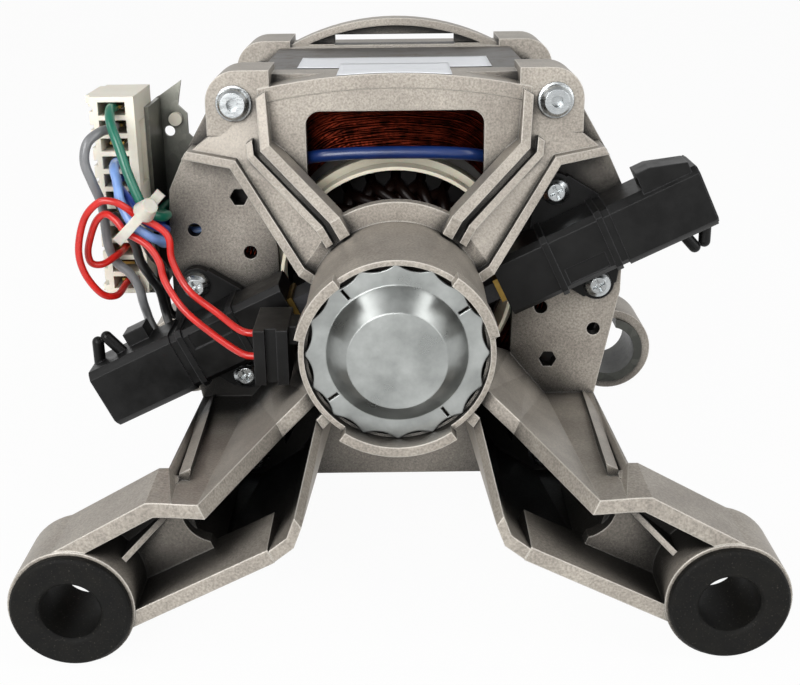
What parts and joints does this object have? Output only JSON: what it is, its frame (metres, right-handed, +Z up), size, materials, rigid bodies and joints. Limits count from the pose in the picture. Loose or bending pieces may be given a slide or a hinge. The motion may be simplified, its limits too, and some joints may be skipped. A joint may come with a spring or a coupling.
{
  "type": "washing machine motor",
  "caption": "Universal drive motor of a washing machine: cast end shields with splayed feet clamp a laminated stator round a wound rotor, with angled brush holders, tacho and ribbed pulley.",
  "frame": {"origin": "middle of the footprint, at the floor that the four foot bosses touch", "axes": "+X across the feet to the right as seen from the brush end, +Y along the shaft from the tacho cap to the pulley, +Z up"},
  "size_m": [0.1846, 0.237, 0.1343],
  "materials": {
    "cast_aluminium": "sand-blasted die casting",
    "lamination_steel": "stacked electrical steel",
    "enamelled_copper": "copper wire under dark red enamel",
    "armature_copper": "varnished copper wire",
    "commutator_copper": "turned copper",
    "ivory_plastic": "moulded polyamide",
    "black_plastic": "moulded thermoset",
    "black_rubber": "moulded rubber",
    "zinc_steel": "zinc plated",
    "bearing_steel": "ground",
    "bright_steel": "turned",
    "grey_steel": "rolled and split",
    "galvanised_sheet": "galvanised sheet",
    "brass": "drawn brass",
    "carbon": "pressed carbon graphite",
    "ferrite": "sintered ferrite",
    "fan_plastic": "moulded",
    "resin": "moulded phenolic",
    "green_lead": "flexible sleeve",
    "grey_lead": "flexible sleeve",
    "light_blue_lead": "flexible sleeve",
    "dark_blue_lead": "flexible sleeve",
    "red_lead": "flexible sleeve",
    "black_lead": "flexible sleeve",
    "white_nylon": "moulded nylon"
  },
  "bodies": {
    "housing": {"rear_end_shield": "cast_aluminium", "front_end_shield": "cast_aluminium", "stator_core": "lamination_steel", "field_coil_upper": "enamelled_copper", "field_coil_lower": "enamelled_copper", "field_winding_upper": "enamelled_copper", "field_winding_lower": "enamelled_copper", "coil_frame_rear": "ivory_plastic", "coil_frame_front": "ivory_plastic", "stator_bolts": "zinc_steel", "brush_holder_left": "black_plastic", "brush_holder_right": "black_plastic", "brush_tube_left": "brass", "brush_tube_right": "brass", "brush_spring_left": "bright_steel", "brush_spring_right": "bright_steel", "brush_tab_left": "brass", "brush_tab_right": "brass", "brush_holder_screws": "zinc_steel", "tacho_coil": "black_plastic", "tacho_cap": "zinc_steel", "tacho_plug": "black_plastic", "rear_bearing_outer": "bearing_steel", "front_bearing_outer": "bearing_steel", "foot_bush_left": "black_rubber", "foot_bush_right": "black_rubber", "front_sleeve_left": "grey_steel", "front_sleeve_right": "grey_steel", "terminal_block": "ivory_plastic", "terminal_contacts": "brass", "terminal_bracket": "galvanised_sheet", "bracket_rivets": "zinc_steel", "lead_green": "green_lead", "lead_grey": "grey_lead", "lead_light_blue": "light_blue_lead", "lead_dark_blue": "dark_blue_lead", "lead_red_upper": "red_lead", "lead_red_lower": "red_lead", "lead_black_upper": "black_lead", "lead_black_lower": "black_lead", "coil_lead_blue": "dark_blue_lead", "cable_tie": "white_nylon"},
    "rotor": {"shaft": "bright_steel", "armature_core": "lamination_steel", "armature_winding": "armature_copper", "commutator_bars": "commutator_copper", "commutator_hub": "resin", "rear_bearing_inner": "bearing_steel", "front_bearing_inner": "bearing_steel", "tacho_magnet": "ferrite", "cooling_fan": "fan_plastic", "drive_pulley": "bright_steel"},
    "rear_ball_set": {"rear_ball_cage": "bearing_steel"},
    "front_ball_set": {"front_ball_cage": "bearing_steel"},
    "left_brush": {"brush_left": "carbon"},
    "right_brush": {"brush_right": "carbon"}
  },
  "joints": [
    {"name": "rotor_spin", "type": "hinge", "parent": "housing", "child": "rotor", "pos_m": [0, 0.0175, 0.0648], "axis": [0, 1, 0], "continuous": true},
    {"name": "rear_ball_spin", "type": "hinge", "parent": "housing", "child": "rear_ball_set", "pos_m": [0, 0.0175, 0.0648], "axis": [0, 1, 0], "continuous": true},
    {"name": "front_ball_spin", "type": "hinge", "parent": "housing", "child": "front_ball_set", "pos_m": [0, 0.0175, 0.0648], "axis": [0, 1, 0], "continuous": true},
    {"name": "left_brush_slide", "type": "slide", "parent": "housing", "child": "left_brush", "axis": [-0.9026, 0, -0.4305], "range_m": [0, 0.01], "stiffness_N_per_m": 200, "springref_m": -0.012, "deforming": ["brush_spring_left"]},
    {"name": "right_brush_slide", "type": "slide", "parent": "housing", "child": "right_brush", "axis": [0.9026, 0, 0.4305], "range_m": [0, 0.01], "stiffness_N_per_m": 200, "springref_m": -0.012, "deforming": ["brush_spring_right"]}
  ],
  "couplings": [
    {"joint": "rear_ball_spin", "follows": "rotor_spin", "ratio": 0.38},
    {"joint": "front_ball_spin", "follows": "rotor_spin", "ratio": 0.38}
  ]
}
